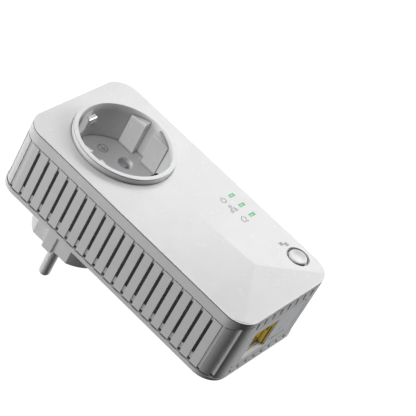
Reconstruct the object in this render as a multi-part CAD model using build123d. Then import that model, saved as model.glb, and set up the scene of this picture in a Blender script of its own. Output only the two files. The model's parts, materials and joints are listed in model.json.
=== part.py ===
from build123d import *
import math
import os

# Powerline adapter with a pass-through earthed socket.
# Millimetres. X is to the right when facing the front, Y points into the wall, Z is up.
# The origin is on the plug's face, midway between its two pins.
# Depths below are measured from the front cover's outline plane, towards the wall.

# ---- driving dimensions ----
PLUG_FACE_DEPTH = 52.8
CASE_WIDTH = 58.6
CASE_TOP = 27.3
CASE_BOTTOM = -91.3
CORNER_R = 9.0
WALL = 2.0

SKIRT_DEPTH = 5.6
SKIRT_DEPTH_END = 2.4
BAND_END = 30.6
BAND_END_LOW = 31.5
CASE_DEPTH = 32.4
LIP_PROUD = 0.3
SCREW_INSET = 6.8
FRONT_SEAM = 0.35
EDGE_LINE = (0.2, 0.55)
EDGE_LINE_CUT = 0.35
EDGE_ROUND = 0.12
BACK_SEAM = 0.5

SOCKET_Z = -0.7
RIM_HEIGHT = 2.85
RIM_R = 21.55
RIM_LINE = (-2.6, -2.3)
RIM_LINE_CUT = 0.3
WELL_R = 19.75
WELL_FLOOR_R = 19.4
WELL_DEPTH = 17.5
WELL_WALL_R = 21.2
FLOOR_THICK = 1.8
GUIDE_X = 16.1
GUIDE_NEAR = 2.55
GUIDE_FAR = 10.2
GUIDE_TOP = -1.4

PIN_PITCH = 19.0
PIN_R = 2.4
PIN_LENGTH = 19.0
PIN_SHANK_R = 2.1
PIN_SHOULDER = 0.1
PIN_RELIEF_R = 2.75
PIN_RELIEF_DEPTH = 0.6
PIN_HOLE_R = 2.8
PIN_HOLE_LEAD = 0.5
PLUG_R = 18.5
PLUG_FLAT_X = 15.9
PLUG_RIB_HALF = 2.35
PLUG_RIB_X = 18.2
PEDESTAL_R = 18.9

VENT_WIDTH = 1.4
VENT_GROOVE = 0.9
VENT_CORNER_GROOVE = 0.45
VENT_NOTCH = 29.3
VENT_SLOT = (7.85, 26.3)
SIDE_VENTS = 19
SIDE_CORNER_VENTS = 2
SIDE_VENT_PITCH = 5.202
LOWEST_SIDE_VENT_Z = -78.32
END_VENTS = 8
END_VENT_PITCH = 5.08
PANEL_VENT_DEPTHS = (5.9, 28.9)

ROOF_HEIGHT = 1.45
ROOF_START_Z = -35.7
ROOF_APEX_Z = -71.7

INDICATOR_X = 22.05
INDICATOR_Z = (-41.5, -47.1, -52.75)
INDICATOR_W = 3.2
INDICATOR_H = 1.5

BUTTON_X = 22.35
BUTTON_Z = -77.6
BUTTON_HOLE_R = 4.65
BUTTON_STEP_R = 4.95
BUTTON_STEP = 0.25
BUTTON_R = 3.95
BUTTON_STEM_R = 1.6
BUTTON_DISH_R = 3.1
BUTTON_DISH = 0.35

PANEL_X = (-19.8, 17.4)
PANEL_DEPTH = (7.1, 28.0)
PORT_X = (-14.5, 1.1)
PORT_DEPTH = (10.3, 25.3)
PORT_LIP = 2.4
PANEL_LINE_X = (3.0, 13.6)
PANEL_LINE_DEPTH = (23.5, 24.2)
PANEL_LINE_CUT = 0.5

BOARD_NEAR = 25.6
BOARD_THICK = 1.6

SHUTTER_TRAVEL = 6.4
SHUTTER_NEAR = 17.05
SHUTTER_THICK = 2.0
CARRIER_NEAR = 19.25
CHAMBER_R = 17.2

CLIP_WIDTH = 4.4
CLIP_THICK = 0.5
CLIP_ROOT_R = 18.9
CLIP_CREST_R = 16.2

OUTLINE_L = CASE_TOP - CASE_BOTTOM
OUTLINE_Z = (CASE_TOP + CASE_BOTTOM) / 2
FLOOR_DEPTH = WELL_DEPTH - RIM_HEIGHT
FLOOR_BACK = FLOOR_DEPTH + FLOOR_THICK
BOARD_BACK = BOARD_NEAR + BOARD_THICK
HALF_W = CASE_WIDTH / 2


# ---- helpers ----
def at(depth):
    """The Y of a depth behind the front outline plane."""
    return depth - PLUG_FACE_DEPTH


def facing(depth, x=0.0, z=0.0):
    """A plane seen from the front: local x is +X, local y is +Z, its normal is -Y."""
    return Plane(origin=(x, at(depth), z), x_dir=(1, 0, 0), z_dir=(0, -1, 0))


def prism(sketch, near, far, x=0.0, z=0.0):
    """Extrude a front-view sketch between two depths."""
    return extrude(facing(far, x, z) * sketch, far - near)


def disc(x, z, radius, near, far):
    return prism(Circle(radius), near, far, x, z)


def ring(x, z, outer, inner, near, far):
    return disc(x, z, outer, near, far) - disc(x, z, inner, near - 1, far + 1)


def cone_hole(x, z, near_r, far_r, near, far):
    """A tapered round cut, near_r wide at its near depth."""
    body = Cone(far_r, near_r, far - near, align=(Align.CENTER, Align.CENTER, Align.MIN))
    return facing(far, x, z) * body


def block(x, depth, z):
    """A box from (low, high) pairs."""
    size = (x[1] - x[0], depth[1] - depth[0], z[1] - z[0])
    corner = Align.MIN
    return Pos(x[0], at(depth[0]), z[0]) * Box(*size, align=(corner, corner, corner))


def outline(inset):
    """The case outline as a front-view sketch, drawn in by inset."""
    width = CASE_WIDTH - 2 * inset
    height = OUTLINE_L - 2 * inset
    return Pos(0, OUTLINE_Z) * RectangleRounded(width, height, CORNER_R - inset)


def shell_ring(inset_out, inset_in, near, far):
    return prism(outline(inset_out), near, far) - prism(outline(inset_in), near - 1, far + 1)


def edges_at(part, depth):
    """Edges lying wholly in one depth plane."""
    return part.edges().filter_by_position(Axis.Y, at(depth) - 0.01, at(depth) + 0.01)


def seam_profile(depth, end_depth, gap):
    """Everything nearer than a seam that sweeps from depth to end_depth round the bottom corners."""
    start_z = CASE_BOTTOM + CORNER_R
    drop = end_depth - depth
    mid_z = start_z - 0.55 * CORNER_R
    mid = depth + 0.33 * drop
    far_z = CASE_BOTTOM - 2
    points = [(CASE_TOP + 2, -6), (CASE_TOP + 2, depth - gap), (start_z, depth - gap)]
    with BuildSketch(Plane.YZ) as profile:
        with BuildLine():
            Polyline(*[(at(d), z) for z, d in points])
            Spline(
                (at(depth - gap), start_z),
                (at(mid - gap), mid_z),
                (at(end_depth - gap), CASE_BOTTOM),
                tangents=[(0, -1), (0.15 * drop, -1)],
            )
            Polyline(
                (at(end_depth - gap), CASE_BOTTOM),
                (at(end_depth - gap), far_z),
                (at(-6), far_z),
                (at(-6), CASE_TOP + 2),
            )
        make_face()
    return extrude(profile.sketch, CASE_WIDTH, both=True)


NEAR_SIDE = seam_profile(SKIRT_DEPTH, SKIRT_DEPTH_END, 0)
NEAR_SIDE_GAP = seam_profile(SKIRT_DEPTH, SKIRT_DEPTH_END, FRONT_SEAM)
FAR_SIDE = seam_profile(BAND_END, BAND_END_LOW, 0)
FAR_SIDE_GAP = seam_profile(BAND_END, BAND_END_LOW, BACK_SEAM)


# ---- housing ----
def roof():
    """The low hipped roof on the front face: it fades in downwards and ends in a sloping triangle."""
    half = HALF_W - 0.7
    low = CASE_BOTTOM + 0.7

    def section(z, height):
        plane = Plane(origin=(0, at(0), z), x_dir=(1, 0, 0), z_dir=(0, 0, 1))
        points = [(-half, 1), (-half, 0), (0, -height), (half, 0), (half, 1)]
        return plane * Polygon(*points, align=None)

    upper = loft([section(ROOF_START_Z, 0.02), section(ROOF_APEX_Z, ROOF_HEIGHT)], ruled=True)
    lower = extrude(section(ROOF_APEX_Z, ROOF_HEIGHT), low - ROOF_APEX_Z)
    slope = Plane.YZ * Polygon(
        (at(1), ROOF_APEX_Z + 1),
        (at(-ROOF_HEIGHT), ROOF_APEX_Z + 1),
        (at(-ROOF_HEIGHT), ROOF_APEX_Z),
        (at(0), low),
        (at(1), low),
        align=None,
    )
    lower = lower & extrude(slope, CASE_WIDTH, both=True)
    return (upper + lower) & prism(outline(0.7), -3, 0.9)


def front_cover():
    plate = prism(outline(0), 0, SKIRT_DEPTH + 2)
    plate = fillet(edges_at(plate, 0), EDGE_ROUND)
    plate -= shell_ring(-1, EDGE_LINE_CUT, *EDGE_LINE)
    plate = plate - prism(outline(WALL), WALL, SKIRT_DEPTH + 3)
    plate = plate & NEAR_SIDE_GAP
    cover = plate + roof()
    cover -= disc(0, SOCKET_Z, RIM_R + 0.15, -4, WALL + 1)
    cover -= disc(BUTTON_X, BUTTON_Z, BUTTON_HOLE_R, -4, WALL + 1)
    cover -= disc(BUTTON_X, BUTTON_Z, BUTTON_STEP_R, -4, BUTTON_STEP)
    for z in INDICATOR_Z:
        window = Rectangle(INDICATOR_W + 0.1, INDICATOR_H + 0.1)
        cover -= prism(window, -1, WALL + 1, INDICATOR_X, z)
    for x, z in screw_places():
        cover += ring(x, z, 2.4, 1.2, WALL - 0.3, 9.0)
    return cover


def screw_places():
    side = HALF_W - SCREW_INSET
    return [(x, z) for x in (-side, side) for z in (CASE_BOTTOM + SCREW_INSET + 0.4, CASE_TOP - SCREW_INSET - 0.4)]


def vent_floor(offset, half_length):
    """How deep a vent lies inside the flat side, from its place along that side.

    Past the corner's start the outline curves away, so the vent is deeper there.
    """
    past = max(0.0, abs(offset) + VENT_WIDTH / 2 - (half_length - CORNER_R))
    curved_away = CORNER_R - math.sqrt(CORNER_R**2 - past**2)
    return max(VENT_GROOVE, curved_away + VENT_CORNER_GROOVE)


def side_vents():
    """The vents across both long sides and on round the corners; those on the flats go through."""
    cuts = []
    for k in range(-SIDE_CORNER_VENTS, SIDE_VENTS + SIDE_CORNER_VENTS):
        middle = LOWEST_SIDE_VENT_Z + k * SIDE_VENT_PITCH
        z = (middle - VENT_WIDTH / 2, middle + VENT_WIDTH / 2)
        floor = HALF_W - vent_floor(middle - OUTLINE_Z, OUTLINE_L / 2)
        for side in (-1, 1):
            across = sorted((side * floor, side * (HALF_W + 1)))
            cuts.append(block(across, (0, CASE_DEPTH), z))
            wall = sorted((side * (HALF_W - 2 * WALL), side * (HALF_W + 1)))
            if 0 <= k < SIDE_VENTS:
                cuts.append(block(wall, VENT_SLOT, z))
                cuts.append(block(wall, (VENT_NOTCH, CASE_DEPTH), z))
    return cuts


def end_vents():
    """The shallow vents across both ends; on the bottom end they stop short of the port panel."""
    cuts = []
    for k in range(END_VENTS):
        middle = (k - (END_VENTS - 1) / 2) * END_VENT_PITCH
        x = (middle - VENT_WIDTH / 2, middle + VENT_WIDTH / 2)
        floor = vent_floor(middle, HALF_W)
        cuts.append(block(x, (0, CASE_DEPTH), (CASE_TOP - floor, CASE_TOP + 1)))
        z = (CASE_BOTTOM - 1, CASE_BOTTOM + floor)
        cuts.append(block(x, (0, PANEL_VENT_DEPTHS[0]), z))
        cuts.append(block(x, (PANEL_VENT_DEPTHS[1], CASE_DEPTH), z))
    return cuts


def vent_band():
    band = prism(outline(0), 0, CASE_DEPTH) - prism(outline(WALL), -1, CASE_DEPTH + 1)
    band = (band & FAR_SIDE_GAP) - NEAR_SIDE
    band = band - side_vents() - end_vents()
    floor = block((PANEL_X[0] - 0.6, PANEL_X[1] + 0.6), (PANEL_DEPTH[0] - 0.6, PANEL_DEPTH[1] + 0.6),
                  (CASE_BOTTOM + 1.0, CASE_BOTTOM + 3.4))
    recess = panel_sketch(-0.3)
    band = band + floor - extrude(panel_plane(0) * recess, 1.8, dir=(0, 0, 1))
    return band - port_cut(0.4)


def panel_plane(inset):
    """A plane on the bottom end seen from above: local x is +X, local y is +Y."""
    return Plane(origin=(0, 0, CASE_BOTTOM + inset), x_dir=(1, 0, 0), z_dir=(0, 0, 1))


def panel_sketch(inset):
    width = PANEL_X[1] - PANEL_X[0] - 2 * inset
    height = PANEL_DEPTH[1] - PANEL_DEPTH[0] - 2 * inset
    centre = (sum(PANEL_X) / 2, at(sum(PANEL_DEPTH) / 2))
    return Pos(*centre) * RectangleRounded(width, height, 3.0 - inset)


def port_cut(grow):
    return block((PORT_X[0] - grow, PORT_X[1] + grow), (PORT_DEPTH[0] - grow, PORT_DEPTH[1] + grow),
                 (CASE_BOTTOM - 1, CASE_BOTTOM + 6))


def port_panel():
    panel = extrude(panel_plane(0) * panel_sketch(0), 1.6, dir=(0, 0, 1))
    panel = panel - port_cut(0)
    return panel - block(PANEL_LINE_X, PANEL_LINE_DEPTH, (CASE_BOTTOM - 1, CASE_BOTTOM + PANEL_LINE_CUT))


def back_cover():
    lip = prism(outline(-LIP_PROUD), 28, CASE_DEPTH) - FAR_SIDE
    inner = prism(outline(WALL + 0.15), CASE_DEPTH - WALL, CASE_DEPTH)
    tongue = shell_ring(WALL + 0.15, WALL + 1.8, 29.0, CASE_DEPTH - WALL + 0.5)
    plate = lip - prism(outline(WALL + 0.5), 20, CASE_DEPTH - WALL) + inner + tongue
    plate -= disc(0, 0, PEDESTAL_R + 0.2, 20, CASE_DEPTH + 1)
    for x, z in screw_places():
        plate += disc(x, z, 3.8, 26.0, CASE_DEPTH)
        plate -= disc(x, z, 1.7, 20, CASE_DEPTH + 1)
        plate -= disc(x, z, 3.2, 29.6, CASE_DEPTH + 1)
    return plate


def pillars():
    """Four spacer tubes that carry the front cover's screw bosses to the back cover."""
    group = [ring(x, z, 3.2, 1.8, 9.1, 25.9) for x, z in screw_places()]
    return Compound(children=group)


def case_screws():
    group = []
    for x, z in screw_places():
        head = disc(x, z, 2.9, 29.6, 31.4)
        drive = prism(RectangleRounded(0.7, 3.2, 0.3) + RectangleRounded(3.2, 0.7, 0.3), 30.5, 32, x, z)
        group.append(head + disc(x, z, 1.15, 4.0, 29.6) - drive)
    return Compound(children=group)


# ---- socket ----
def guide_slabs():
    slabs = None
    for side in (-1, 1):
        for low in (-GUIDE_FAR, GUIDE_NEAR):
            x = sorted((side * GUIDE_X, side * (WELL_WALL_R - 0.8)))
            slope = 1 if low > 0 else -1
            profile = Plane.YZ * Polygon(
                (at(GUIDE_TOP), SOCKET_Z + slope * GUIDE_NEAR),
                (at(GUIDE_TOP + 1.4), SOCKET_Z + slope * GUIDE_FAR),
                (at(FLOOR_DEPTH + 0.5), SOCKET_Z + slope * GUIDE_FAR),
                (at(FLOOR_DEPTH + 0.5), SOCKET_Z + slope * GUIDE_NEAR),
                align=None,
            )
            slab = Pos(x[0], 0, 0) * extrude(profile, x[1] - x[0], dir=(1, 0, 0))
            top = slab.edges().filter_by_position(Axis.Y, at(GUIDE_TOP), at(GUIDE_TOP + 1.5))
            inner = top.filter_by_position(Axis.X, side * GUIDE_X - 0.01, side * GUIDE_X + 0.01)
            slab = chamfer(inner, 0.4)
            slabs = slab if slabs is None else slabs + slab
    return slabs


def clip_pocket(side):
    """The flat-backed pocket that an earth clip lies in, open through the well floor."""
    far = FLOOR_BACK + 1
    low = side * (CLIP_ROOT_R - 1.2)
    high = side * (WELL_R + 2.4)
    z = sorted((SOCKET_Z + low, SOCKET_Z + high))
    return block((-CLIP_WIDTH / 2 - 0.4, CLIP_WIDTH / 2 + 0.4), (0.1, far), z)


def socket_insert():
    body = disc(0, SOCKET_Z, RIM_R, -RIM_HEIGHT, 4.0)
    body = fillet(edges_at(body, -RIM_HEIGHT), EDGE_ROUND)
    body -= ring(0, SOCKET_Z, RIM_R + 1, RIM_R - RIM_LINE_CUT, *RIM_LINE)
    body += disc(0, SOCKET_Z, 23.6, WALL + 0.1, 4.0)
    body += disc(0, SOCKET_Z, WELL_WALL_R, 3.9, FLOOR_BACK)
    for side in (-1, 1):
        z = sorted((SOCKET_Z + side * 19.0, SOCKET_Z + side * 23.2))
        body += block((-4.2, 4.2), (4.0, FLOOR_BACK), z)
    body -= cone_hole(0, SOCKET_Z, WELL_R, WELL_FLOOR_R, -RIM_HEIGHT, FLOOR_DEPTH)
    slabs = guide_slabs() & disc(0, SOCKET_Z, WELL_WALL_R - 0.7, -RIM_HEIGHT, FLOOR_BACK)
    body += slabs
    for side in (-1, 1):
        body -= clip_pocket(side)
        x = side * PIN_PITCH / 2
        body -= disc(x, SOCKET_Z, PIN_HOLE_R, 0, FLOOR_BACK + 1)
        mouth_r = PIN_HOLE_R + PIN_HOLE_LEAD
        body -= cone_hole(x, SOCKET_Z, mouth_r, PIN_HOLE_R, FLOOR_DEPTH, FLOOR_DEPTH + PIN_HOLE_LEAD)
    return body


def earth_clip(side):
    """A bowed spring strip: it bulges into the well near its mouth and is rooted behind the floor."""
    points = [
        (FLOOR_BACK + 0.3, CLIP_ROOT_R),
        (3.4, CLIP_CREST_R),
        (1.3, CLIP_CREST_R + 0.4),
        (0.8, CLIP_CREST_R + 1.9),
    ]
    spine = [(at(d), SOCKET_Z + side * r) for d, r in points]
    with BuildSketch(Plane.YZ) as strip:
        with BuildLine() as path:
            FilletPolyline(*spine, radius=0.7)
        trace(path.line, CLIP_THICK)
    return extrude(strip.sketch, CLIP_WIDTH / 2, both=True)


def earth_frame():
    """The hooped strap behind the well that feeds both earth clips and the plug's earth strips."""
    reach = WELL_R + 2.3
    half_x = (-CLIP_WIDTH / 2, CLIP_WIDTH / 2)
    hoop = ring(0, SOCKET_Z, reach, reach - 0.8, 26.8, 27.6)
    strap = hoop & block((-CLIP_WIDTH / 2, reach + 1), (26, 28), (SOCKET_Z - 30, SOCKET_Z + 30))
    for side in (-1, 1):
        z = sorted((SOCKET_Z + side * (CLIP_ROOT_R - 0.5), SOCKET_Z + side * reach))
        strap += block(half_x, (FLOOR_BACK + 0.65, FLOOR_BACK + 1.25), z)
        z = sorted((SOCKET_Z + side * (reach - 0.9), SOCKET_Z + side * (reach - 0.1)))
        strap += block(half_x, (FLOOR_BACK + 0.65, 27.6), z)
    return strap


def shutter():
    z0 = SOCKET_Z
    near = SHUTTER_NEAR
    far = SHUTTER_NEAR + SHUTTER_THICK
    plate = block((-13.0, 13.0), (near, far), (z0 - 10.2, z0 + 4.2))
    for side in (-1, 1):
        x = side * PIN_PITCH / 2
        window = prism(Circle(PIN_R + 0.7), near - 1, far + 1, x, z0 - SHUTTER_TRAVEL)
        plate -= window
        ramp = Plane.YZ * Polygon(
            (at(near - 1), z0 - 4.6), (at(near), z0 - 0.4), (at(far), z0 - 3.4), (at(far), z0 - 4.6), align=None
        )
        plate -= Pos(x, 0, 0) * extrude(ramp, PIN_R + 0.2, both=True)
    return plate - block((-1.6, 1.6), (near - 1, far + 1), (z0 + 1.4, z0 + 5))


def shutter_spring():
    """A serpentine leaf spring between the shutter and the carrier's rim."""
    z0 = SOCKET_Z + 1.6
    turns = 7
    pitch = (CHAMBER_R - 0.2 - 1.6) / turns
    points = [(0.0, z0)]
    for k in range(turns):
        z = z0 + (k + 0.5) * pitch
        points.append((1.1 if k % 2 else -1.1, z))
    points.append((0.0, z0 + turns * pitch))
    with BuildSketch(facing(SHUTTER_NEAR + 1.7)) as wire:
        with BuildLine() as path:
            Polyline(*points)
        trace(path.line, 0.35)
    return extrude(wire.sketch, 1.4)


def contact_carrier():
    """The black moulding that holds the line contacts and closes the shutter chamber."""
    body = disc(0, SOCKET_Z, 19.0, CARRIER_NEAR, CARRIER_NEAR + 2)
    body += ring(0, SOCKET_Z, 19.0, CHAMBER_R, FLOOR_BACK + 0.1, CARRIER_NEAR + 0.5)
    for side in (-1, 1):
        x = side * PIN_PITCH / 2
        body += disc(x, 0, 4.3, CARRIER_NEAR + 1, 36.0)
        body -= disc(x, 0, 3.5, CARRIER_NEAR + 1.6, 34.8)
        body -= disc(x, 0, 2.9, CARRIER_NEAR - 1, 30)
        body -= disc(x, SOCKET_Z, 2.9, CARRIER_NEAR - 1, CARRIER_NEAR + 1.7)
        body -= block((x - 1.2, x + 1.2), (34, 37), (-0.6, 0.6))
        outward = sorted((x + side * 2.0, x + side * 6.0))
        body -= block(outward, (24.0, 25.1), (-2.2, 0.2))
        z = sorted((SOCKET_Z + side * (CHAMBER_R + 0.6), SOCKET_Z + side * 22))
        body -= block((-3.4, 3.4), (FLOOR_BACK - 1, CARRIER_NEAR + 3), z)
    return body


def line_contact(side):
    """A slit spring sleeve that grips a pin, with a blade running back to the plug pin."""
    x = side * PIN_PITCH / 2
    sleeve = ring(x, 0, 3.2, 2.75, 21.0, 33.6) + disc(x, 0, 3.2, 33.5, 34.3)
    for turn in (0, 90):
        slit = facing(20, x, 0) * Rot(0, 0, turn) * Pos(0, 0, -4.5) * Box(9, 0.7, 11)
        sleeve -= slit
    blade = block((x - 0.9, x + 0.9), (34.2, 44.2), (-0.35, 0.35))
    return sleeve + blade


# ---- plug ----
def plug_section(inset, rib=True):
    """The plug's cross section: a disc with two flats, each with a centre rib."""
    flat = PLUG_FLAT_X - inset
    shape = Circle(PLUG_R - inset) & Rectangle(2 * flat, 2 * PLUG_R)
    if rib:
        shape = shape + Rectangle(2 * PLUG_RIB_X, 2 * PLUG_RIB_HALF)
    return shape


def plug_body():
    body = prism(plug_section(0), 34.4, PLUG_FACE_DEPTH)
    body = fillet(edges_at(body, PLUG_FACE_DEPTH), 0.4)
    body += disc(0, 0, PEDESTAL_R, 28.6, 34.4)
    body += disc(0, 0, 21.4, 28.4, CASE_DEPTH - WALL - 0.1)
    cavity = Circle(PLUG_R - 2.2) & Rectangle(2 * (PLUG_FLAT_X - 1.5), 2 * PLUG_R)
    body -= prism(cavity, 20, 47.6)
    for side in (-1, 1):
        x = side * PIN_PITCH / 2
        body -= disc(x, 0, PIN_SHANK_R, 40, 60)
        body -= disc(x, 0, PIN_RELIEF_R, PLUG_FACE_DEPTH - PIN_RELIEF_DEPTH, 60)
        z = sorted((side * (PLUG_R - 1.0), side * (PLUG_R + 1)))
        body -= block((-3.3, 3.3), (33.0, 50.8), z)
        z = sorted((side * (PLUG_R - 3.5), side * (PLUG_R + 1)))
        body -= block((-3.3, 3.3), (34.6, 35.8), z)
    return body


def plug_pin(side):
    """A round pin with a domed tip; a thinner shank runs through the plug's face into the body."""
    x = side * PIN_PITCH / 2
    tip = PLUG_FACE_DEPTH + PIN_LENGTH
    shoulder = PLUG_FACE_DEPTH + PIN_SHOULDER
    pin = disc(x, 0, PIN_SHANK_R, 46.2, shoulder)
    pin += disc(x, 0, PIN_R, shoulder, tip - PIN_R)
    pin += Pos(x, at(tip - PIN_R), 0) * Sphere(PIN_R)
    pin += disc(x, 0, 3.6, 45.4, 47.5)
    return pin - block((x - 1.0, x + 1.0), (44, 46.3), (-0.4, 0.4))


def plug_earth_strip(side):
    """The flush earth contact on one side of the plug, with a tail through the body."""
    z = sorted((side * (PLUG_R - 0.95), side * (PLUG_R - 0.15)))
    strip = block((-3.1, 3.1), (33.2, 50.6), z)
    z = sorted((side * (PLUG_R - 4.2), side * (PLUG_R - 0.2)))
    tail = block((-3.1, 3.1), (34.8, 35.6), z)
    z = sorted((side * (PLUG_R - 4.2), side * (PLUG_R - 3.4)))
    rise = block((-3.1, 3.1), (27.9, 35.6), z)
    z = sorted((side * (PLUG_R - 4.2), SOCKET_Z + side * (WELL_R + 2.2)))
    bridge = block((-CLIP_WIDTH / 2, CLIP_WIDTH / 2), (27.7, 28.3), z)
    return strip + tail + rise + bridge


# ---- electronics ----
def main_board():
    board = block((-25.0, 25.0), (BOARD_NEAR, BOARD_BACK), (CASE_BOTTOM + 3.7, -25.0))
    for x, z in screw_places():
        board -= block((x - 4.0, x + 4.0), (BOARD_NEAR - 1, BOARD_BACK + 1), (z - 6.0, z + 4.0))
    board -= disc(0, 0, 22.6, BOARD_NEAR - 1, BOARD_BACK + 1)
    for side in (-1, 1):
        board -= disc(side * 18.0, -30.0, 0.8, BOARD_NEAR - 1, BOARD_BACK + 1)
    return board


def feed_wire(side):
    """A solid link from a line contact's sleeve down to the board."""
    x = side * PIN_PITCH / 2
    out = side * 18.0
    level = (24.2, 24.9)
    near_x = sorted((side * 13.9, out + side * 0.6))
    run = block(near_x, level, (-2.0, 0.0))
    down = block((out - 0.6, out + 0.6), level, (-30.6, 0.0))
    foot = disc(out, -30.0, 0.6, level[0], BOARD_BACK + 0.8)
    inner = sorted((x + side * 3.25, side * 14.0))
    stub = block(inner, level, (-2.0, 0.0))
    return run + down + foot + stub


def on_board(x, z, width, height, tall, gap=0.05):
    """A component box standing on the front of the board, from its centre and size."""
    return block((x - width / 2, x + width / 2), (BOARD_NEAR - tall, BOARD_NEAR - gap),
                 (z - height / 2, z + height / 2))


def transformer_core():
    body = on_board(-14.5, -40.0, 16.0, 14.0, 14.5, gap=1.6)
    body -= on_board(-14.5, -40.0, 11.0, 20.0, 10.5, gap=4.6)
    post = on_board(-14.5, -40.0, 3.8, 4.0, 12.0, gap=2.6)
    return body + post


def transformer_bobbin():
    base = on_board(-14.5, -40.0, 16.0, 18.0, 1.5)
    sleeve = on_board(-14.5, -40.0, 10.4, 15.0, 10.1, gap=4.9)
    sleeve -= on_board(-14.5, -40.0, 4.2, 4.4, 30.0, gap=-5)
    return base + sleeve + on_board(-14.5, -48.0, 10.4, 1.4, 10.1)


def capacitor(x, z, radius, tall):
    can = disc(x, z, radius, BOARD_NEAR - tall, BOARD_NEAR - 0.05)
    groove = ring(x, z, radius + 1, radius - 0.35, BOARD_NEAR - 2.4, BOARD_NEAR - 1.6)
    return can - groove


def bulk_capacitors():
    return Compound(children=[capacitor(13.0, -36.5, 5.0, 18.0), capacitor(2.6, -33.2, 4.0, 16.0)])


def mains_choke():
    centre = (2.0, -44.5)
    tall = 9.0
    body = ring(*centre, 5.0, 2.0, BOARD_NEAR - tall, BOARD_NEAR - 1.0)
    return fillet(edges_at(body, BOARD_NEAR - tall), 0.8)


def fuse():
    body = disc(13.5, -47.0, 2.8, BOARD_NEAR - 7.5, BOARD_NEAR - 0.05)
    return fillet(edges_at(body, BOARD_NEAR - 7.5), 0.5)


def varistor():
    plane = Plane(origin=(-24.0 + 2.4, at(BOARD_NEAR - 6.2), -57.6), x_dir=(0, 1, 0), z_dir=(1, 0, 0))
    body = extrude(plane * Circle(5.2), 3.0)
    leads = block((-21.0, -20.0), (BOARD_NEAR - 2.4, BOARD_NEAR - 0.05), (-59.4, -58.8))
    leads += block((-21.0, -20.0), (BOARD_NEAR - 2.4, BOARD_NEAR - 0.05), (-56.4, -55.8))
    return body + leads


def line_coupler():
    body = on_board(-10.2, -58.0, 11.0, 8.0, 6.0)
    return chamfer(body.edges().filter_by(Axis.Y), 0.8)


def modem_chip():
    return on_board(5.0, -60.0, 12.0, 12.0, 1.2)


def heatsink():
    base = block((-2.0, 12.0), (BOARD_NEAR - 3.2, BOARD_NEAR - 1.25), (-67.0, -53.0))
    for k in range(7):
        x = -2.0 + k * 2.1667
        base += block((x, x + 1.0), (BOARD_NEAR - 9.0, BOARD_NEAR - 3.0), (-67.0, -53.0))
    return base


def ethernet_chip():
    return on_board(9.0, -74.5, 7.0, 7.0, 1.0)


def memory_chip():
    body = on_board(17.2, -62.0, 5.0, 6.0, 1.5, gap=0.4)
    for k in range(4):
        z = -64.1 + k * 1.4
        body += block((14.1, 20.3), (BOARD_NEAR - 0.55, BOARD_NEAR - 0.05), (z - 0.2, z + 0.2))
    return body


def crystal():
    body = on_board(17.0, -70.2, 4.6, 3.0, 2.6)
    return fillet(body.edges().filter_by(Axis.Y), 1.2)


def indicator_leds():
    return Compound(children=[on_board(INDICATOR_X, z, 2.0, 1.2, 0.8) for z in INDICATOR_Z])


def light_guide():
    """Three clear rods from the diodes to the front windows, joined by a bar."""
    body = None
    for z in INDICATOR_Z:
        rod = prism(Rectangle(INDICATOR_W, INDICATOR_H), 0, BOARD_NEAR - 1.1, INDICATOR_X, z)
        body = rod if body is None else body + rod
    bar = block((INDICATOR_X - 0.7, INDICATOR_X + 0.7), (8.0, 10.0), (INDICATOR_Z[2], INDICATOR_Z[0]))
    return body + bar


# ---- network port ----
def jack_housing():
    x = (PORT_X[0] + 0.15, PORT_X[1] - 0.15)
    depth = (PORT_DEPTH[0] + 0.15, PORT_DEPTH[1] - 0.1)
    mouth = CASE_BOTTOM + 0.35
    body = block(x, depth, (mouth, mouth + 17.5))
    body -= block((x[0] + 0.7, x[1] - 1.0), (depth[0] + 0.8, depth[1] + 1), (mouth - 1, mouth + PORT_LIP))
    hollow = block((x[0] + 1.5, x[1] - 1.8), (depth[0] + 3.4, depth[1] - 1.4), (mouth, mouth + 13.5))
    latch = block((x[0] + 4.2, x[1] - 4.4), (depth[0] + 0.9, depth[0] + 4), (mouth, mouth + 11.0))
    slit = block((x[1] - 1.4, x[1] - 0.3), (depth[0] + 4.6, depth[1] + 1), (mouth + 0.2, mouth + 0.75))
    slot = block((x[1] - 1.4, x[1] - 0.3), (depth[0] + 5.2, depth[0] + 7.6), (mouth + 1.25, mouth + 1.8))
    return body - hollow - latch - slit - slot


def jack_contacts():
    """Eight gold springs that lean across the jack's hollow."""
    first = (PORT_X[0] + PORT_X[1]) / 2 - 0.4 - 3.5 * 1.02
    group = []
    mouth = CASE_BOTTOM + 0.35
    back = PORT_DEPTH[1] - 0.1 - 1.4
    for k in range(8):
        x = first + 1.02 * k
        with BuildSketch(Plane.YZ) as side:
            with BuildLine() as path:
                Polyline((at(back - 0.3), mouth + 5.2), (at(back - 0.3), mouth + 7.0), (at(back - 3.0), mouth + 12.9))
            trace(path.line, 0.3)
        group.append(Pos(x, 0, 0) * extrude(side.sketch, 0.18, both=True))
    return Compound(children=group)


# ---- pairing button ----
def pair_button():
    cap = disc(BUTTON_X, BUTTON_Z, BUTTON_R, -0.5, 2.6)
    cap = fillet(edges_at(cap, -0.5), 0.6)
    dish_r = (BUTTON_DISH_R**2 + BUTTON_DISH**2) / (2 * BUTTON_DISH)
    cap -= Pos(BUTTON_X, at(BUTTON_DISH - 0.5 - dish_r), BUTTON_Z) * Sphere(dish_r)
    cap += prism(Rectangle(9.8, 3.0) & Circle(4.9), 2.9, 3.7, BUTTON_X, BUTTON_Z)
    cap += disc(BUTTON_X, BUTTON_Z, BUTTON_R, 2.5, 3.0)
    return cap + disc(BUTTON_X, BUTTON_Z, BUTTON_STEM_R, 3.6, 20.2)


def tact_switch():
    body = block((BUTTON_X - 3, BUTTON_X + 2.6), (BOARD_NEAR - 3.6, BOARD_NEAR - 0.05),
                 (BUTTON_Z - 3, BUTTON_Z + 3))
    return body - disc(BUTTON_X, BUTTON_Z, 1.85, BOARD_NEAR - 4, BOARD_NEAR - 2.2)


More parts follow.
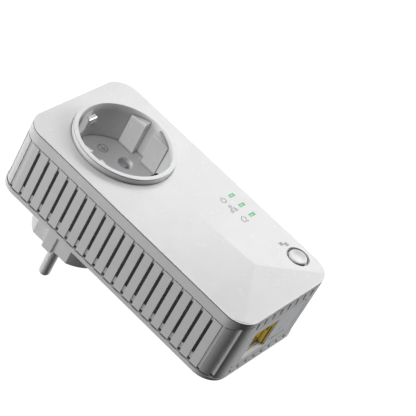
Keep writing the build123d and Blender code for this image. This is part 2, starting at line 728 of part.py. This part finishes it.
def switch_plunger():
    return disc(BUTTON_X, BUTTON_Z, 1.75, 20.25, BOARD_NEAR - 2.9)


# ---- write ----
def build():
    nodes = {
        "front_cover": front_cover(),
        "vent_band": vent_band(),
        "port_panel": port_panel(),
        "back_cover": back_cover(),
        "screw_pillars": pillars(),
        "case_screws": case_screws(),
        "socket_insert": socket_insert(),
        "earth_clip_top": earth_clip(1),
        "earth_clip_bottom": earth_clip(-1),
        "earth_frame": earth_frame(),
        "shutter": shutter(),
        "shutter_spring": shutter_spring(),
        "contact_carrier": contact_carrier(),
        "line_contact_left": line_contact(-1),
        "line_contact_right": line_contact(1),
        "plug_body": plug_body(),
        "plug_pin_left": plug_pin(-1),
        "plug_pin_right": plug_pin(1),
        "plug_earth_strip_top": plug_earth_strip(1),
        "plug_earth_strip_bottom": plug_earth_strip(-1),
        "main_board": main_board(),
        "feed_link_left": feed_wire(-1),
        "feed_link_right": feed_wire(1),
        "transformer_core": transformer_core(),
        "transformer_bobbin": transformer_bobbin(),
        "bulk_capacitors": bulk_capacitors(),
        "mains_choke": mains_choke(),
        "fuse": fuse(),
        "varistor": varistor(),
        "line_coupler": line_coupler(),
        "modem_chip": modem_chip(),
        "heatsink": heatsink(),
        "ethernet_chip": ethernet_chip(),
        "memory_chip": memory_chip(),
        "crystal": crystal(),
        "indicator_leds": indicator_leds(),
        "light_guide": light_guide(),
        "jack_housing": jack_housing(),
        "jack_contacts": jack_contacts(),
        "pair_button": pair_button(),
        "tact_switch": tact_switch(),
        "switch_plunger": switch_plunger(),
    }
    os.makedirs("parts", exist_ok=True)
    for name, shape in nodes.items():
        export_step(shape, f"parts/{name}.step")
        print(name, len(shape.solids()), round(shape.volume, 1))


build()
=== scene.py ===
import bmesh
import bpy
import json
import math
from mathutils import Matrix, Vector
from mathutils.bvhtree import BVHTree


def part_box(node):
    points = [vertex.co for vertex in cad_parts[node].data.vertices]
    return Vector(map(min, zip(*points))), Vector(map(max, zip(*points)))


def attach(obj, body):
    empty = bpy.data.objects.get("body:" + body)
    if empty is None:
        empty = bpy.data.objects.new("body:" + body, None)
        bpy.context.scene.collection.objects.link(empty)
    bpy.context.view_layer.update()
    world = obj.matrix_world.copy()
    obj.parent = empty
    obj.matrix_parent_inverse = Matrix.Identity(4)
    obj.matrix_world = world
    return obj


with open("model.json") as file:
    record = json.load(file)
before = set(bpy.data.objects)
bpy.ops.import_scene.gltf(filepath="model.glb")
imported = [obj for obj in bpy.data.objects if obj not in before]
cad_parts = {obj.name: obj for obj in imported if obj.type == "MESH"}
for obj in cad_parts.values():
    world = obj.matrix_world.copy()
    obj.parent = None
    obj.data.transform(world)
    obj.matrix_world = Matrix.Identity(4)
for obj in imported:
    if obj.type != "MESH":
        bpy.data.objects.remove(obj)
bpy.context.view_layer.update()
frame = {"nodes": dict(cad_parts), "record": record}  # frame["bodies"], ["nodes"], ["joints"], ["record"]

# Powerline adapter. Lengths below are in millimetres and turn into metres through MM.
# The frame is the CAD's: X to the right of the front, Y into the wall, Z up.
MM = 0.001
FRONT_Y = -52.8
WELL_FLOOR_Y = FRONT_Y + 14.65
AHEAD_OF_FRONT_Y = FRONT_Y - 5

PRINT_LIFT = 0.015
PRINT_THICK = 0.03
PRINT_STEP = 0.4
POWER_STROKE = 0.36
NETWORK_STROKE = 0.26
HOUSE_STROKE = 0.3
PAIR_STROKE = 0.34
EARTH_STROKE = 0.3
# Size of the pale mark on each light guide: a painted highlight for the lit diode's hot spot.
LED_HOTSPOT_LENGTH = 1.3
LED_HOTSPOT_HEIGHT = 0.45

POWER_AT = (16.5, -41.7)
NETWORK_AT = (16.5, -46.8)
HOUSE_AT = (16.6, -52.9)
LIGHTS_AT = ((22.05, -41.5), (22.05, -47.1), (22.05, -52.75))
PAIR_AT = ((20.9, -69.5), (23.0, -70.7))
EARTH_AT = (6.6, 9.6)

VENTS = 19
VENT_PITCH = 5.202
VENT_LOWEST_Z = -78.32
VENT_WIDTH = 1.4
VENT_DEPTHS = (7.85, 26.3)
VENT_FLOOR = 1.0
VENT_PLAY = 0.02
# Place and size of the black sheets behind the side slots, which paint shade into the slots.
SHADE_SHEET_INSET = 2.1
SHADE_SHEET_THICK = 0.5
SHADE_SHEET_DEPTHS = (6.5, 28.3)
SHADE_SHEET_END_MARGIN = 2.5
END_VENTS = 8
END_VENT_PITCH = 5.08
END_VENT_DEPTHS = ((2.9, 5.85), (30.3, 31.3))
END_BAR = 0.4
END_BAR_CLEAR = (0.1, 0.12)

# Reach of the ambient-occlusion mask that paints shade into narrow gaps.
CREVICE_REACH = 1.5
# Depths over which the socket's well is painted darker: painted shade.
RECESS_DEPTHS = (FRONT_Y - 2.6, FRONT_Y + 0.8)

FLOOR_Z = -1000.0
FLOOR_HALF_WIDTH = 40000.0
SKY_BRIGHTNESS = 1.05
LIGHT_CENTRE = (0.0, -20.0, -35.0)
LIGHT_DISTANCE = 1200.0

# The camera looks slightly upwards at the front, the left side and the bottom end.
CAMERA_AT = (-542.83, -522.70, -247.96)
CAMERA_RIGHT = (0.59823732, -0.39290005, -0.69838504)
CAMERA_DOWN = (-0.32836317, 0.67481127, -0.66091405)
CAMERA_LENS = 169.71
CAMERA_SENSOR = 36


# ---- materials ----
class Surface:
    """A Principled material with the helpers that the finishes below share."""

    def __init__(self, name, colour, rough, metallic=0.0, specular=0.5):
        self.material = bpy.data.materials.new(name)
        self.material.use_nodes = True
        self.tree = self.material.node_tree
        self.shader = self.tree.nodes["Principled BSDF"]
        self.shader.inputs["Roughness"].default_value = rough
        self.shader.inputs["Metallic"].default_value = metallic
        self.shader.inputs["Specular IOR Level"].default_value = specular
        self.colour = colour
        self.rough = rough
        self.set_colour(colour)
        self.place = self.node("ShaderNodeTexCoord").outputs["Object"]

    def node(self, kind, **settings):
        made = self.tree.nodes.new(kind)
        for key, value in settings.items():
            setattr(made, key, value)
        return made

    def link(self, source, target):
        self.tree.links.new(source, target)

    def set_colour(self, colour):
        self.shader.inputs["Base Color"].default_value = (*colour, 1)

    def stretched(self, scale):
        mapping = self.node("ShaderNodeMapping")
        self.link(self.place, mapping.inputs["Vector"])
        mapping.inputs["Scale"].default_value = scale
        return mapping.outputs["Vector"]

    def noise(self, size_mm, detail=3.0, stretch=None):
        """A noise whose features are about size_mm wide."""
        made = self.node("ShaderNodeTexNoise")
        self.link(self.stretched(stretch) if stretch else self.place, made.inputs["Vector"])
        made.inputs["Scale"].default_value = 1 / (size_mm * MM)
        made.inputs["Detail"].default_value = detail
        return made.outputs["Fac"]

    def spread(self, value, low, high, from_low=0.3, from_high=0.7):
        made = self.node("ShaderNodeMapRange")
        self.link(value, made.inputs["Value"])
        made.inputs["From Min"].default_value = from_low
        made.inputs["From Max"].default_value = from_high
        made.inputs["To Min"].default_value = low
        made.inputs["To Max"].default_value = high
        return made.outputs["Result"]

    def tint(self, value, first, second):
        """Mix two colours by a value into the base colour; the first may be another node's output."""
        made = self.node("ShaderNodeMix", data_type="RGBA")
        self.link(value, made.inputs["Factor"])
        if isinstance(first, bpy.types.NodeSocket):
            self.link(first, made.inputs["A"])
        else:
            made.inputs["A"].default_value = (*first, 1)
        made.inputs["B"].default_value = (*second, 1)
        self.link(made.outputs["Result"], self.shader.inputs["Base Color"])
        return made.outputs["Result"]

    def gap_shade_mask(self, reach_mm):
        """A mask for painted shade from ambient occlusion: one deep in gaps narrower than the reach,
        falling to zero in the open.
        """
        made = self.node("ShaderNodeAmbientOcclusion", samples=8)
        made.inputs["Distance"].default_value = reach_mm * MM
        return self.spread(made.outputs["AO"], 1.0, 0.0, 0.25, 0.85)

    def deeper(self, near, far):
        """Rises from zero to one between two depths, in the CAD's Y."""
        parts = self.node("ShaderNodeSeparateXYZ")
        self.link(self.place, parts.inputs["Vector"])
        return self.spread(parts.outputs["Y"], 0.0, 1.0, near * MM, far * MM)

    def vary_roughness(self, size_mm, amount, stretch=None):
        value = self.spread(self.noise(size_mm, 2.0, stretch), self.rough - amount, self.rough + amount)
        self.link(value, self.shader.inputs["Roughness"])

    def relief(self, height, depth_mm, strength=1.0):
        """Bump from a height."""
        bump = self.node("ShaderNodeBump")
        bump.inputs["Strength"].default_value = strength
        bump.inputs["Distance"].default_value = depth_mm * MM
        self.link(height, bump.inputs["Height"])
        self.link(bump.outputs["Normal"], self.shader.inputs["Normal"])


def moulded_plastic(name, colour, rough, grain_mm=0.22, depth_mm=0.001, wear=0.03, gap_shade=0.0,
                    well_shade=0.0):
    """Moulded plastic: spark-eroded grain, cloudy gloss, faint mottling, painted shade in narrow gaps.

    With depth the material greys, which paints shade into a socket's well.
    """
    s = Surface(name, colour, rough)
    darker = tuple(c * (1 - wear) for c in colour)
    base = s.tint(s.spread(s.noise(9.0, 2.0), 0.0, 1.0), darker, colour)
    # Painted shade: the colour greys with depth into the socket's well.
    if well_shade:
        shade = tuple(c * (1 - well_shade) for c in colour)
        base = s.tint(s.deeper(*RECESS_DEPTHS), base, shade)
    # Narrow gaps are darkened through ambient occlusion: painted shade.
    if gap_shade:
        gap_shade_colour = tuple(c * (1 - gap_shade) for c in colour)
        s.tint(s.gap_shade_mask(CREVICE_REACH), base, gap_shade_colour)
    s.vary_roughness(3.5, 0.04)
    s.relief(s.noise(grain_mm, 2.0), depth_mm, 0.4)
    return s.material


def drawn_metal(name, colour, rough, along, grain_mm=0.12, depth_mm=0.003, metallic=1.0, gap_shade=0.0):
    """Metal with fine streaks along one axis, uneven gloss and painted shade in narrow gaps."""
    s = Surface(name, colour, rough, metallic)
    stretch = tuple(0.04 if axis == along else 1.0 for axis in "xyz")
    streaks = s.noise(grain_mm, 4.0, stretch)
    base = s.tint(s.spread(streaks, 0.0, 1.0), tuple(c * 0.86 for c in colour), colour)
    # Narrow gaps are darkened through ambient occlusion: painted shade.
    if gap_shade:
        s.tint(s.gap_shade_mask(CREVICE_REACH), base, tuple(c * (1 - gap_shade) for c in colour))
    s.vary_roughness(1.2, 0.08, stretch)
    s.relief(streaks, depth_mm, 0.4)
    return s.material


def speckled(name, dark, light, rough, speck_mm, depth_mm=0.01):
    """Sintered or filled material: small light grains in a dark body."""
    s = Surface(name, dark, rough)
    grains = s.noise(speck_mm, 5.0)
    s.tint(s.spread(grains, 0.0, 1.0, 0.5, 0.68), dark, light)
    s.vary_roughness(2.0, 0.08)
    s.relief(grains, depth_mm, 0.6)
    return s.material


def circuit_board(name):
    """Green solder mask over copper tracks: the tracks show as slightly raised paler lines."""
    s = Surface(name, (0.012, 0.12, 0.045), 0.3)
    tracks = s.node("ShaderNodeTexBrick", offset=0.5)
    s.link(s.stretched((1.0, 0.0, 1.0)), tracks.inputs["Vector"])
    tracks.inputs["Scale"].default_value = 160.0
    tracks.inputs["Mortar Size"].default_value = 0.035
    s.tint(tracks.outputs["Fac"], (0.012, 0.12, 0.045), (0.03, 0.2, 0.07))
    s.vary_roughness(4.0, 0.06)
    s.relief(tracks.outputs["Fac"], 0.02, 0.5)
    return s.material


def lit_guide(name, colour, glow):
    """The clear green light guide: its window glows softly, mottled by the diffusing grain."""
    s = Surface(name, colour, 0.3)
    cloud = s.noise(0.7, 2.0)
    mixed = s.tint(s.spread(cloud, 0.0, 1.0), tuple(c * 0.8 for c in colour), colour)
    s.link(mixed, s.shader.inputs["Emission Color"])
    s.shader.inputs["Emission Strength"].default_value = glow
    s.material.cycles.emission_sampling = "NONE"
    s.shader.inputs["Subsurface Weight"].default_value = 0.2
    s.shader.inputs["Subsurface Scale"].default_value = 0.5 * MM
    s.vary_roughness(0.8, 0.06)
    s.relief(cloud, 0.01, 0.3)
    return s.material


def print_ink(name, colour):
    """Pad-printed ink: a thin film with a slightly broken tone."""
    s = Surface(name, colour, 0.5)
    patch = s.noise(0.5, 3.0)
    s.tint(s.spread(patch, 0.0, 1.0), colour, tuple(min(1.0, c * 1.25) for c in colour))
    s.vary_roughness(0.6, 0.08)
    s.relief(patch, 0.003, 0.4)
    return s.material


def backlit_paper(name, colour):
    """Studio paper lit evenly from behind, with a faint cloudy formation."""
    s = Surface(name, (0.0, 0.0, 0.0), 0.9, specular=0.0)
    paper = s.tint(s.spread(s.noise(60.0, 4.0), 0.0, 1.0), tuple(c * 0.96 for c in colour), colour)
    s.link(paper, s.shader.inputs["Emission Color"])
    s.shader.inputs["Emission Strength"].default_value = 1.0
    s.material.cycles.emission_sampling = "NONE"
    return s.material


# Where set, narrow gaps get painted shade through ambient occlusion, and the socket's well gets painted
# shade with depth.
FINISHES = {
    "white_shell": moulded_plastic("white_shell", (0.84, 0.84, 0.845), 0.24, gap_shade=0.95),
    "socket_white": moulded_plastic("socket_white", (0.86, 0.86, 0.87), 0.24, gap_shade=0.8, well_shade=0.38),
    "plug_white": moulded_plastic("plug_white", (0.84, 0.84, 0.845), 0.4, gap_shade=0.6),
    "port_panel_white": moulded_plastic("port_panel_white", (0.82, 0.84, 0.87), 0.3, gap_shade=0.9),
    "button_white": moulded_plastic("button_white", (0.86, 0.86, 0.865), 0.2, gap_shade=0.97),
    "shutter_grey": moulded_plastic("shutter_grey", (0.4, 0.41, 0.42), 0.42),
    "black_moulding": moulded_plastic("black_moulding", (0.02, 0.02, 0.022), 0.45, wear=0.3),
    "spring_steel": drawn_metal("spring_steel", (0.6, 0.6, 0.6), 0.3, "z"),
    "nickel": drawn_metal("nickel", (0.6, 0.6, 0.58), 0.12, "y", gap_shade=0.98),
    "pin_nickel": drawn_metal("pin_nickel", (0.86, 0.89, 0.87), 0.6, "y", metallic=0.2),
    "brass_strip": drawn_metal("brass_strip", (0.75, 0.55, 0.25), 0.35, "y"),
    "copper_link": drawn_metal("copper_link", (0.8, 0.42, 0.28), 0.35, "z"),
    "board_green": circuit_board("board_green"),
    "ferrite": speckled("ferrite", (0.035, 0.035, 0.04), (0.12, 0.12, 0.125), 0.6, 0.35),
    "capacitor_sleeve": moulded_plastic("capacitor_sleeve", (0.03, 0.035, 0.09), 0.25, wear=0.25),
    "varistor_blue": speckled("varistor_blue", (0.02, 0.09, 0.36), (0.04, 0.16, 0.5), 0.35, 0.9, 0.03),
    "chip_black": speckled("chip_black", (0.018, 0.018, 0.02), (0.05, 0.05, 0.05), 0.55, 0.2),
    "can_metal": drawn_metal("can_metal", (0.66, 0.66, 0.64), 0.22, "x"),
    "heatsink_alu": drawn_metal("heatsink_alu", (0.62, 0.63, 0.65), 0.4, "z"),
    "led_green": lit_guide("led_green", (0.12, 0.6, 0.26), 0.6),
    "guide_green": lit_guide("guide_green", (0.13, 0.58, 0.27), 0.16),
    "jack_yellow": moulded_plastic("jack_yellow", (0.52, 0.38, 0.035), 0.4, wear=0.15, gap_shade=0.97),
    "gold_contact": drawn_metal("gold_contact", (0.83, 0.62, 0.2), 0.25, "z"),
    "screw_steel": drawn_metal("screw_steel", (0.58, 0.59, 0.6), 0.32, "x"),
}
INK = print_ink("print_grey", (0.3, 0.3, 0.31))
FLOOR_INK = print_ink("moulded_mark", (0.16, 0.16, 0.165))
# Pale green ink on the light guides: a painted highlight for each diode's hot spot.
LED_HOTSPOT_PAINT = print_ink("painted_led_hotspot", (0.5, 0.86, 0.62))
# Near-black for the sheets and bars that paint shade into the vents.
VENT_SHADE_BLACK = moulded_plastic("vent_shade_sheet", (0.014, 0.015, 0.016), 0.6, wear=0.3)

node_slot = {row["node"]: row["material_slot"] for row in frame["record"]["subparts"]}
node_slot["port_panel"] = "port_panel_white"
for name, part in frame["nodes"].items():
    part.data.materials.clear()
    part.data.materials.append(FINISHES[node_slot[name]])


# ---- pieces ----
def closed_mesh(name, shape):
    """A mesh from a finished bmesh, with its faces turned outwards."""
    bmesh.ops.recalc_face_normals(shape, faces=shape.faces)
    mesh = bpy.data.meshes.new(name)
    shape.to_mesh(mesh)
    shape.free()
    return mesh


def add_piece(name, mesh, material):
    """A piece that Blender adds to the case."""
    piece = bpy.data.objects.new(name, mesh)
    bpy.context.scene.collection.objects.link(piece)
    mesh.materials.append(material)
    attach(piece, "case")


def surface_under(node):
    """The mesh of a CAD node as a tree for finding the surface behind a front-view point."""
    mesh = frame["nodes"][node].data
    return BVHTree.FromPolygons([v.co for v in mesh.vertices], [p.vertices for p in mesh.polygons])


def surface_y(tree, x, z, start_y):
    hit = tree.ray_cast(Vector((x * MM, start_y * MM, z * MM)), Vector((0, 1, 0)))[0]
    return hit.y / MM


def arc(centre, radius, start, end, steps=24):
    """Points on a circle in front view; angles in degrees, anticlockwise from +X."""
    angles = [math.radians(start + (end - start) * k / steps) for k in range(steps + 1)]
    return [(centre[0] + radius * math.cos(a), centre[1] + radius * math.sin(a)) for a in angles]


def box_line(x, z, width, height):
    """A closed rectangle in front view, as a stroke."""
    dx, dz = width / 2, height / 2
    return [(x - dx, z - dz), (x + dx, z - dz), (x + dx, z + dz), (x - dx, z + dz), (x - dx, z - dz)]


def finer(points):
    """The same stroke with a point at least every PRINT_STEP."""
    out = [points[0]]
    for (x0, z0), (x1, z1) in zip(points, points[1:]):
        count = max(1, math.ceil(math.hypot(x1 - x0, z1 - z0) / PRINT_STEP))
        out += [(x0 + (x1 - x0) * k / count, z0 + (z1 - z0) * k / count) for k in range(1, count + 1)]
    return out


def stroke(shape, points, width, tree, start_y):
    """Lay a stroke of the given width on the surface, as a thin raised film."""
    points = [Vector(p) for p in finer(points)]
    closed = (points[0] - points[-1]).length < 1e-6
    rows = []
    for k, point in enumerate(points):
        before = points[k - 1] if k else (points[-2] if closed else point)
        after = points[k + 1] if k + 1 < len(points) else (points[1] if closed else point)
        arriving = (point - before).normalized() if point != before else (after - point).normalized()
        leaving = (after - point).normalized() if point != after else arriving
        across = Vector((-(arriving + leaving).y, (arriving + leaving).x)).normalized()
        reach = width / 2 / max(0.5, across.dot(Vector((-arriving.y, arriving.x))))
        row = []
        for side in (-1, 1):
            spot = point + across * reach * side
            y = surface_y(tree, spot.x, spot.y, start_y)
            for lift in (PRINT_LIFT + PRINT_THICK, -PRINT_LIFT):
                row.append(shape.verts.new((spot.x * MM, (y - lift) * MM, spot.y * MM)))
        rows.append(row)
    for (a, b, c, d), (e, f, g, h) in zip(rows, rows[1:]):
        for face in ((a, c, g, e), (b, f, h, d), (a, e, f, b), (c, d, h, g)):
            shape.faces.new(face)
    if not closed:
        shape.faces.new((rows[0][0], rows[0][1], rows[0][3], rows[0][2]))
        shape.faces.new((rows[-1][0], rows[-1][2], rows[-1][3], rows[-1][1]))


def printed(name, strokes, width, node, start_y, material):
    """Strokes laid on a node's surface, which is looked for from start_y towards the wall."""
    tree = surface_under(node)
    shape = bmesh.new()
    for points in strokes:
        stroke(shape, points, width, tree, start_y)
    add_piece(name, closed_mesh(name, shape), material)


def front_print(name, strokes, width):
    printed(name, strokes, width, "front_cover", AHEAD_OF_FRONT_Y, INK)


def power_symbol(x, z):
    return [arc((x, z), 1.2, 125, 415, 20), [(x, z + 0.35), (x, z + 1.75)]]


def network_symbol(x, z):
    return [
        box_line(x - 0.1, z + 1.55, 1.15, 0.8),
        box_line(x - 1.2, z - 0.95, 1.15, 0.85),
        box_line(x + 1.15, z - 0.95, 1.15, 0.85),
        [(x - 0.1, z + 1.0), (x - 0.1, z + 0.3)],
        [(x - 1.2, z - 0.4), (x - 1.2, z + 0.3), (x + 1.15, z + 0.3), (x + 1.15, z - 0.4)],
    ]


def house_symbol(x, z):
    return [
        [(x - 1.6, z + 0.2), (x, z + 1.45), (x + 1.6, z + 0.2)],
        [(x - 1.1, z + 0.3), (x - 1.1, z - 1.15), (x + 0.1, z - 1.15)],
        [(x + 1.1, z + 0.3), (x + 1.1, z - 0.45)],
        arc((x + 0.9, z - 1.0), 0.5, 110, 340, 10),
    ]


def pair_symbol(x, z):
    """A small hatch: one half of the pairing mark."""
    return [
        [(x - 0.95, z + 0.4), (x + 0.95, z + 0.4)],
        [(x - 0.95, z - 0.4), (x + 0.95, z - 0.4)],
        [(x - 0.42, z + 0.95), (x - 0.42, z - 0.95)],
        [(x + 0.42, z + 0.95), (x + 0.42, z - 0.95)],
    ]


def earth_symbol(x, z):
    return [
        arc((x, z), 2.15, 0, 360, 36),
        [(x, z + 2.0), (x, z - 0.1)],
        [(x - 1.35, z - 0.1), (x + 1.35, z - 0.1)],
        [(x - 0.9, z - 0.8), (x + 0.9, z - 0.8)],
        [(x - 0.4, z - 1.4), (x + 0.4, z - 1.4)],
    ]


front_print("symbol_power", power_symbol(*POWER_AT), POWER_STROKE)
front_print("symbol_network", network_symbol(*NETWORK_AT), NETWORK_STROKE)
front_print("symbol_house", house_symbol(*HOUSE_AT), HOUSE_STROKE)
# A pale mark on each light guide: a painted highlight for the diode's hot spot.
for number, (x, z) in enumerate(LIGHTS_AT):
    core = [(x - LED_HOTSPOT_LENGTH / 2, z), (x + LED_HOTSPOT_LENGTH / 2, z)]
    printed(f"painted_led_hotspot_{number + 1}", [core], LED_HOTSPOT_HEIGHT, "light_guide", AHEAD_OF_FRONT_Y,
            LED_HOTSPOT_PAINT)
for number, place in enumerate(PAIR_AT):
    front_print(f"symbol_pair_{number + 1}", pair_symbol(*place), PAIR_STROKE)
printed("symbol_earth", earth_symbol(*EARTH_AT), EARTH_STROKE, "socket_insert", WELL_FLOOR_Y - 1,
        FLOOR_INK)


def add_box(shape, low, high):
    """Add a closed box between two corners, in millimetres."""
    spots = [(x, y, z) for x in (low[0], high[0]) for y in (low[1], high[1]) for z in (low[2], high[2])]
    v = [shape.verts.new(Vector(spot) * MM) for spot in spots]
    for face in ((0, 1, 3, 2), (4, 6, 7, 5), (0, 4, 5, 1), (2, 3, 7, 6), (0, 2, 6, 4), (1, 5, 7, 3)):
        shape.faces.new([v[k] for k in face])


def vent_shade_sheet(name, side):
    """A black sheet behind a slotted side whose bars fill the slots up to their floors: painted shade for
    the dark inside of the slots.
    """
    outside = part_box("vent_band")[1].x / MM
    shape = bmesh.new()
    sheet = sorted((side * (outside - SHADE_SHEET_INSET), side * (outside - SHADE_SHEET_INSET - SHADE_SHEET_THICK)))
    highest_z = VENT_LOWEST_Z + (VENTS - 1) * VENT_PITCH
    add_box(shape, (sheet[0], FRONT_Y + SHADE_SHEET_DEPTHS[0], VENT_LOWEST_Z - SHADE_SHEET_END_MARGIN),
            (sheet[1], FRONT_Y + SHADE_SHEET_DEPTHS[1], highest_z + SHADE_SHEET_END_MARGIN))
    bar = sorted((side * (outside - SHADE_SHEET_INSET), side * (outside - VENT_FLOOR)))
    near, far = (FRONT_Y + depth for depth in VENT_DEPTHS)
    half = VENT_WIDTH / 2 - VENT_PLAY
    for k in range(VENTS):
        z = VENT_LOWEST_Z + k * VENT_PITCH
        add_box(shape, (bar[0], near + VENT_PLAY, z - half), (bar[1], far - VENT_PLAY, z + half))
    add_piece(name, closed_mesh(name, shape), VENT_SHADE_BLACK)


def end_vent_shade_bars(name):
    """Black bars along one wall of each shallow vent in the bottom end, to both sides of the port:
    painted shade for the dark vent walls.
    """
    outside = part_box("vent_band")[0].z / MM
    bottom = outside + END_BAR_CLEAR[0]
    top = outside + VENT_FLOOR - END_BAR_CLEAR[1]
    shape = bmesh.new()
    for k in range(END_VENTS):
        wall = (k - (END_VENTS - 1) / 2) * END_VENT_PITCH + VENT_WIDTH / 2 - VENT_PLAY
        for near, far in END_VENT_DEPTHS:
            add_box(shape, (wall - END_BAR, FRONT_Y + near, bottom), (wall, FRONT_Y + far, top))
    add_piece(name, closed_mesh(name, shape), VENT_SHADE_BLACK)


# Black sheets and bars inside the vents: painted shade.
vent_shade_sheet("vent_liner_left", -1)
vent_shade_sheet("vent_liner_right", 1)
end_vent_shade_bars("vent_shade_bars_bottom")


# ---- camera ----
right = Vector(CAMERA_RIGHT).normalized()
forward = right.cross(Vector(CAMERA_DOWN)).normalized()
down = forward.cross(right)
camera_data = bpy.data.cameras.new("camera")
camera_data.lens = CAMERA_LENS
camera_data.sensor_width = CAMERA_SENSOR
camera = bpy.data.objects.new("camera", camera_data)
bpy.context.scene.collection.objects.link(camera)
turn = Matrix((right, -down, -forward)).transposed()
camera.matrix_world = Matrix.Translation(Vector(CAMERA_AT) * MM) @ turn.to_4x4()
bpy.context.scene.camera = camera


# ---- light and floor ----
def soft_light(name, direction, half_angle, power, shadow=True):
    """A disc light seen from the object in a direction and under a half angle in degrees."""
    distance = LIGHT_DISTANCE * MM
    data = bpy.data.lights.new(name, "AREA")
    data.shape = "DISK"
    data.size = 2 * distance * math.tan(math.radians(half_angle))
    data.energy = power
    data.use_shadow = shadow
    light = bpy.data.objects.new(name, data)
    bpy.context.scene.collection.objects.link(light)
    away = Vector(direction).normalized()
    light.location = Vector(LIGHT_CENTRE) * MM + away * distance
    light.rotation_mode = "QUATERNION"
    light.rotation_quaternion = (-away).to_track_quat("-Z", "Y")
    light.visible_camera = False


soft_light("top_left", (-0.36, -0.39, 0.85), 14, 8.4, shadow=False)
soft_light("front_left", (-0.42, -0.68, 0.6), 14, 2.0)
soft_light("low_right", (0.83, -0.41, -0.38), 14, 9.0)
soft_light("low_far", (0.72, 0.2, -0.66), 14, 6.2)
soft_light("right", (0.82, -0.55, 0.2), 14, 2.8)
soft_light("wide", (0.5, -0.86, 0.1), 26, 3.0)
soft_light("left_behind", (-0.78, 0.35, 0.52), 14, 4.5, shadow=False)
soft_light("top_behind", (0.28, 0.62, 0.73), 14, 0.6)

floor_mesh = bpy.data.meshes.new("floor")
floor_shape = bmesh.new()
bmesh.ops.create_grid(floor_shape, x_segments=8, y_segments=8, size=FLOOR_HALF_WIDTH * MM)
floor_shape.to_mesh(floor_mesh)
floor_shape.free()
floor = bpy.data.objects.new("floor", floor_mesh)
bpy.context.scene.collection.objects.link(floor)
floor.location.z = FLOOR_Z * MM
floor_mesh.materials.append(backlit_paper("floor_paper", (0.62, 0.62, 0.62)))
# The floor only stands behind the object: the studio lights alone shape the object's shading.
floor.visible_diffuse = False
floor.visible_glossy = False
floor.visible_shadow = False

# The camera sees a white sky, which gives no light.
world = bpy.data.worlds.new("studio")
bpy.context.scene.world = world
world.use_nodes = True
tree = world.node_tree
tree.nodes.clear()
out = tree.nodes.new("ShaderNodeOutputWorld")
mix = tree.nodes.new("ShaderNodeMixShader")
path = tree.nodes.new("ShaderNodeLightPath")
seen = tree.nodes.new("ShaderNodeBackground")
unlit = tree.nodes.new("ShaderNodeBackground")
seen.inputs["Color"].default_value = (1, 1, 1, 1)
seen.inputs["Strength"].default_value = SKY_BRIGHTNESS
unlit.inputs["Strength"].default_value = 0.0
tree.links.new(path.outputs["Is Camera Ray"], mix.inputs[0])
tree.links.new(unlit.outputs[0], mix.inputs[1])
tree.links.new(seen.outputs[0], mix.inputs[2])
tree.links.new(mix.outputs[0], out.inputs[0])
bpy.context.scene.view_settings.view_transform = "Standard"
